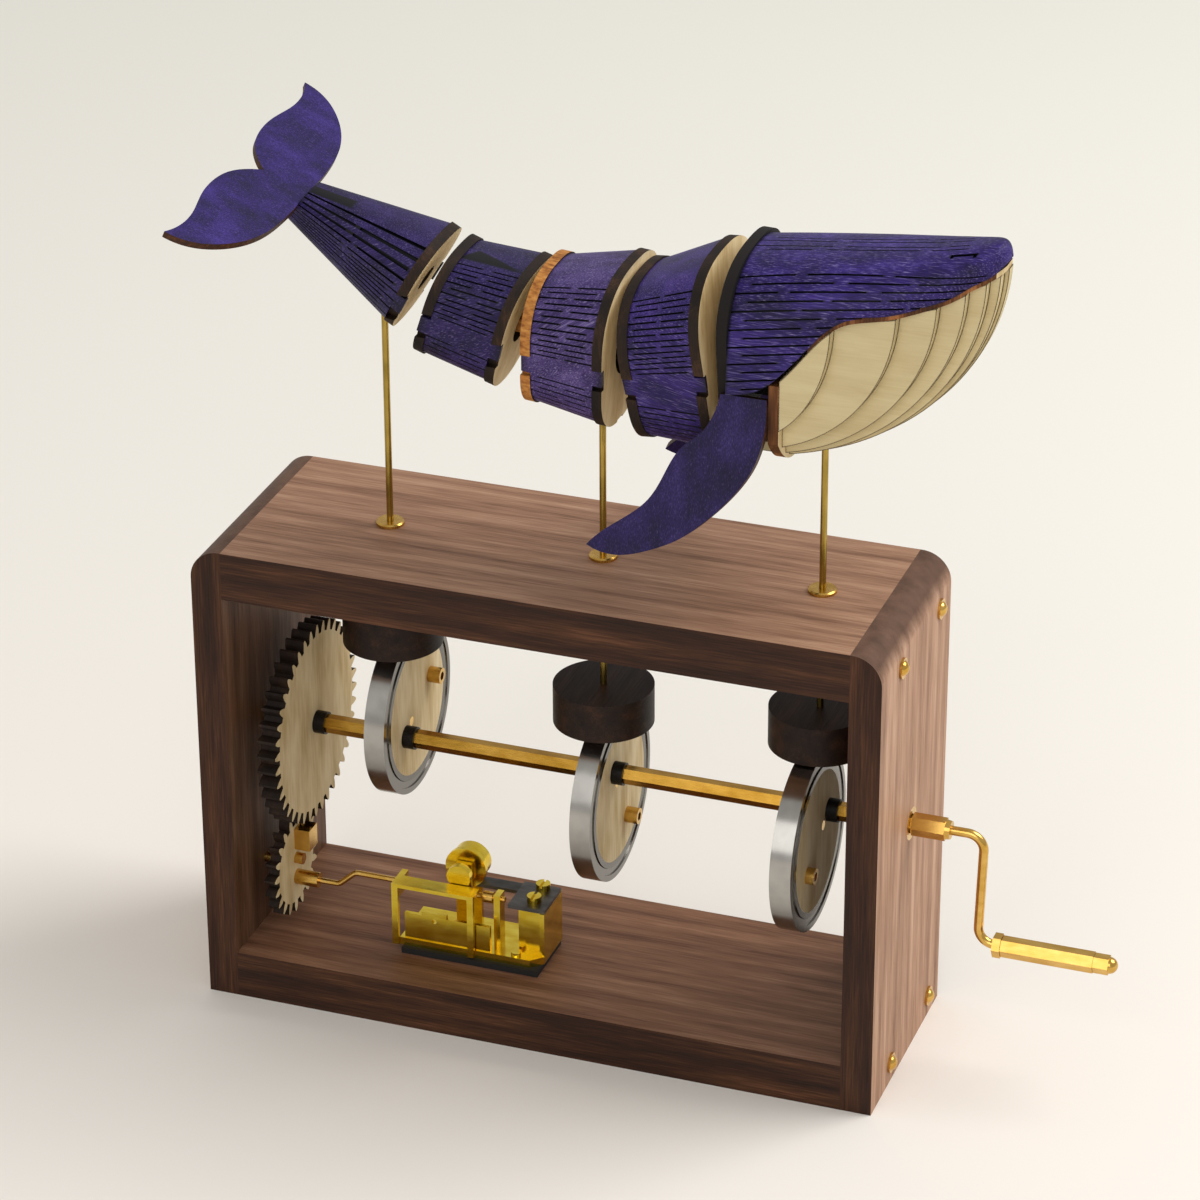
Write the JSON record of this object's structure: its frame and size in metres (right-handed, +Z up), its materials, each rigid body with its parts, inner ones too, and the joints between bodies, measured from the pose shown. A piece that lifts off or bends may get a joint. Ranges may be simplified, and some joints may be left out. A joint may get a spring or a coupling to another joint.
{
  "type": "crank automaton",
  "caption": "Hand-cranked wooden automaton: bearing cams in a walnut frame lift brass rods under a segmented whale that swims, with a music movement beside them.",
  "frame": {"origin": "on the underside of the wooden frame, under the middle of its width and depth", "axes": "+X along the camshaft towards the crank and the whale's nose, +Y to the back, +Z up"},
  "size_m": [0.2752, 0.101, 0.2646],
  "materials": {
    "walnut": "oiled walnut",
    "brass": "polished brass",
    "gold_plate": "gold-coloured plating",
    "black_steel": "black oxide",
    "bearing_steel": "polished bearing steel",
    "steel": "spring steel",
    "pale_ply": "laser-cut birch plywood with brown edges",
    "purple_ply": "laser-cut plywood stained purple",
    "dark_ply": "laser-cut plywood, stained, with burnt edges",
    "tan_block": "plain light wood",
    "black_pad": "thin black pad",
    "black_bush": "black bush"
  },
  "bodies": {
    "frame": {"left_side_board": "walnut", "right_side_board": "walnut", "top_board": "walnut", "bottom_board": "walnut", "frame_screws": "brass", "rod_bushings": "brass", "shaft_bushes": "black_bush", "movement_pad": "black_pad", "movement_bedplate": "gold_plate", "movement_bridge": "gold_plate", "movement_comb": "steel", "movement_screws": "brass"},
    "camshaft": {"camshaft_bar": "brass", "shaft_collars": "black_steel", "drive_gear": "pale_ply", "crank_hub": "brass", "crank_arm": "brass", "handle_nuts": "brass", "cam_cores": "pale_ply", "cam_inner_races": "bearing_steel", "cam_balls": "bearing_steel", "cam_clamp_screws": "brass"},
    "dowel_tail": {"cam_dowel_tail": "brass"},
    "follower_tail": {"follower_tail": "walnut", "push_rod_tail": "brass"},
    "ring_tail": {"cam_ring_tail": "bearing_steel"},
    "ball_tail": {"rod_ball_tail": "brass"},
    "dowel_middle": {"cam_dowel_middle": "brass"},
    "follower_middle": {"follower_middle": "walnut", "push_rod_middle": "brass"},
    "ring_middle": {"cam_ring_middle": "bearing_steel"},
    "ball_middle": {"rod_ball_middle": "brass"},
    "dowel_head": {"cam_dowel_head": "brass"},
    "follower_head": {"follower_head": "walnut", "push_rod_head": "brass"},
    "ring_head": {"cam_ring_head": "bearing_steel"},
    "ball_head": {"rod_ball_head": "brass"},
    "joint_head": {"ball_socket_head": "brass"},
    "body_head": {"head_skin": "purple_ply", "head_plates": "dark_ply", "jaw_plates": "pale_ply", "pectoral_fins": "purple_ply"},
    "joint_neck": {"spine_ball_neck": "brass"},
    "body_neck": {"neck_skin": "purple_ply", "neck_bulkheads": "dark_ply"},
    "joint_middle": {"ball_socket_middle": "brass"},
    "body_middle": {"middle_skin": "purple_ply", "middle_bulkheads": "dark_ply"},
    "joint_rear": {"spine_ball_rear": "brass"},
    "body_rear": {"rear_skin": "purple_ply", "rear_bulkheads": "dark_ply"},
    "joint_tail": {"ball_socket_tail": "brass"},
    "body_tail": {"tail_skin": "purple_ply", "tail_bulkheads": "dark_ply", "tail_flukes": "purple_ply"},
    "pinion": {"pinion_gear": "pale_ply", "pinion_coupling": "tan_block", "crank_wire": "brass"},
    "drum": {"pin_drum": "brass"},
    "handle": {"handle_sleeve": "brass"}
  },
  "joints": [
    {"name": "camshaft_turn", "type": "hinge", "parent": "frame", "child": "camshaft", "pos_m": [0.1, 0, 0.0792], "axis": [1, 0, 0], "continuous": true},
    {"name": "dowel_tail_turn", "type": "hinge", "parent": "camshaft", "child": "dowel_tail", "pos_m": [-0.0563, 0.00485, 0.08189], "axis": [1, 0, 0], "continuous": true},
    {"name": "follower_tail_turn", "type": "hinge", "parent": "dowel_tail", "child": "follower_tail", "pos_m": [-0.0563, 0, 0.08458], "axis": [1, 0, 0], "continuous": true},
    {"name": "ring_tail_turn", "type": "hinge", "parent": "camshaft", "child": "ring_tail", "pos_m": [-0.0563, 0.00971, 0.08458], "axis": [1, 0, 0], "continuous": true},
    {"name": "ball_tail_turn", "type": "hinge", "parent": "follower_tail", "child": "ball_tail", "pos_m": [-0.0563, 0, 0.232], "axis": [1, 0, 0], "continuous": true},
    {"name": "dowel_middle_turn", "type": "hinge", "parent": "camshaft", "child": "dowel_middle", "pos_m": [0.0102, 0.00269, 0.07435], "axis": [1, 0, 0], "continuous": true},
    {"name": "follower_middle_turn", "type": "hinge", "parent": "dowel_middle", "child": "follower_middle", "pos_m": [0.0102, 0, 0.06949], "axis": [1, 0, 0], "continuous": true},
    {"name": "ring_middle_turn", "type": "hinge", "parent": "camshaft", "child": "ring_middle", "pos_m": [0.0102, 0.00538, 0.06949], "axis": [1, 0, 0], "continuous": true},
    {"name": "ball_middle_turn", "type": "hinge", "parent": "follower_middle", "child": "ball_middle", "pos_m": [0.0102, 0, 0.22], "axis": [1, 0, 0], "continuous": true},
    {"name": "dowel_head_turn", "type": "hinge", "parent": "camshaft", "child": "dowel_head", "pos_m": [0.0766, -0.00485, 0.07651], "axis": [1, 0, 0], "continuous": true},
    {"name": "follower_head_turn", "type": "hinge", "parent": "dowel_head", "child": "follower_head", "pos_m": [0.0766, 0, 0.07382], "axis": [1, 0, 0], "continuous": true},
    {"name": "ring_head_turn", "type": "hinge", "parent": "camshaft", "child": "ring_head", "pos_m": [0.0766, -0.00971, 0.07382], "axis": [1, 0, 0], "continuous": true},
    {"name": "ball_head_turn", "type": "hinge", "parent": "follower_head", "child": "ball_head", "pos_m": [0.0766, 0, 0.226], "axis": [1, 0, 0], "continuous": true},
    {"name": "joint_head_roll", "type": "hinge", "parent": "ball_head", "child": "joint_head", "pos_m": [0.0766, 0, 0.226], "axis": [0.9924, -0.114, 0.0457], "continuous": true},
    {"name": "body_head_turn", "type": "hinge", "parent": "joint_head", "child": "body_head", "pos_m": [0.0766, 0, 0.226], "axis": [0.9958, 0, 0.0917], "continuous": true},
    {"name": "joint_neck_roll", "type": "hinge", "parent": "ball_middle", "child": "joint_neck", "pos_m": [0.0357, -0.00261, 0.22012], "axis": [0.9932, -0.1076, 0.044], "continuous": true},
    {"name": "body_neck_turn", "type": "hinge", "parent": "joint_neck", "child": "body_neck", "pos_m": [0.0357, 0, 0.22024], "axis": [0.9961, 0, 0.0882], "continuous": true},
    {"name": "joint_middle_roll", "type": "hinge", "parent": "ball_middle", "child": "joint_middle", "pos_m": [0.0102, 0, 0.22], "axis": [0.9962, -0.0757, -0.0429], "continuous": true},
    {"name": "body_middle_turn", "type": "hinge", "parent": "joint_middle", "child": "body_middle", "pos_m": [0.0102, 0, 0.22], "axis": [0.9963, 0, -0.0859], "continuous": true},
    {"name": "joint_rear_roll", "type": "hinge", "parent": "ball_middle", "child": "joint_rear", "pos_m": [-0.0259, 0.00171, 0.22318], "axis": [0.9922, -0.0327, -0.1206], "continuous": true},
    {"name": "body_rear_turn", "type": "hinge", "parent": "joint_rear", "child": "body_rear", "pos_m": [-0.0259, 0, 0.22636], "axis": [0.9717, 0, -0.2362], "continuous": true},
    {"name": "joint_tail_roll", "type": "hinge", "parent": "ball_tail", "child": "joint_tail", "pos_m": [-0.0563, 0, 0.232], "axis": [0.9888, -0.0162, -0.1486], "continuous": true},
    {"name": "body_tail_turn", "type": "hinge", "parent": "joint_tail", "child": "body_tail", "pos_m": [-0.0563, 0, 0.232], "axis": [0.9577, 0, -0.2879], "continuous": true},
    {"name": "pinion_turn", "type": "hinge", "parent": "frame", "child": "pinion", "pos_m": [-0.087, -0.011, 0.03546], "axis": [1, 0, 0], "continuous": true},
    {"name": "drum_turn", "type": "hinge", "parent": "frame", "child": "drum", "pos_m": [-0.0321, 0, 0.04096], "axis": [0, 1, 0], "continuous": true},
    {"name": "handle_spin", "type": "hinge", "parent": "camshaft", "child": "handle", "pos_m": [0.147, 0, 0.0434], "axis": [1, 0, 0], "continuous": true}
  ],
  "couplings": [
    {"joint": "dowel_tail_turn", "follows": "camshaft_turn", "ratio": -2},
    {"joint": "follower_tail_turn", "follows": "camshaft_turn", "ratio": 1},
    {"joint": "ring_tail_turn", "follows": "camshaft_turn", "ratio": -1},
    {"joint": "ball_tail_turn", "follows": "camshaft_turn", "ratio": 1},
    {"joint": "dowel_middle_turn", "follows": "camshaft_turn", "ratio": -2},
    {"joint": "follower_middle_turn", "follows": "camshaft_turn", "ratio": 1},
    {"joint": "ring_middle_turn", "follows": "camshaft_turn", "ratio": -1},
    {"joint": "ball_middle_turn", "follows": "camshaft_turn", "ratio": 1},
    {"joint": "dowel_head_turn", "follows": "camshaft_turn", "ratio": -2},
    {"joint": "follower_head_turn", "follows": "camshaft_turn", "ratio": 1},
    {"joint": "ring_head_turn", "follows": "camshaft_turn", "ratio": -1},
    {"joint": "ball_head_turn", "follows": "camshaft_turn", "ratio": 1},
    {"joint": "joint_head_roll", "follows": "camshaft_turn", "ratio": -2},
    {"joint": "body_head_turn", "follows": "camshaft_turn", "ratio": 1},
    {"joint": "joint_neck_roll", "follows": "camshaft_turn", "ratio": -2},
    {"joint": "body_neck_turn", "follows": "camshaft_turn", "ratio": 1},
    {"joint": "joint_middle_roll", "follows": "camshaft_turn", "ratio": -2},
    {"joint": "body_middle_turn", "follows": "camshaft_turn", "ratio": 1},
    {"joint": "joint_rear_roll", "follows": "camshaft_turn", "ratio": -2},
    {"joint": "body_rear_turn", "follows": "camshaft_turn", "ratio": 1},
    {"joint": "joint_tail_roll", "follows": "camshaft_turn", "ratio": -2},
    {"joint": "body_tail_turn", "follows": "camshaft_turn", "ratio": 1},
    {"joint": "pinion_turn", "follows": "camshaft_turn", "ratio": -2},
    {"joint": "drum_turn", "follows": "camshaft_turn", "ratio": -0.1}
  ]
}
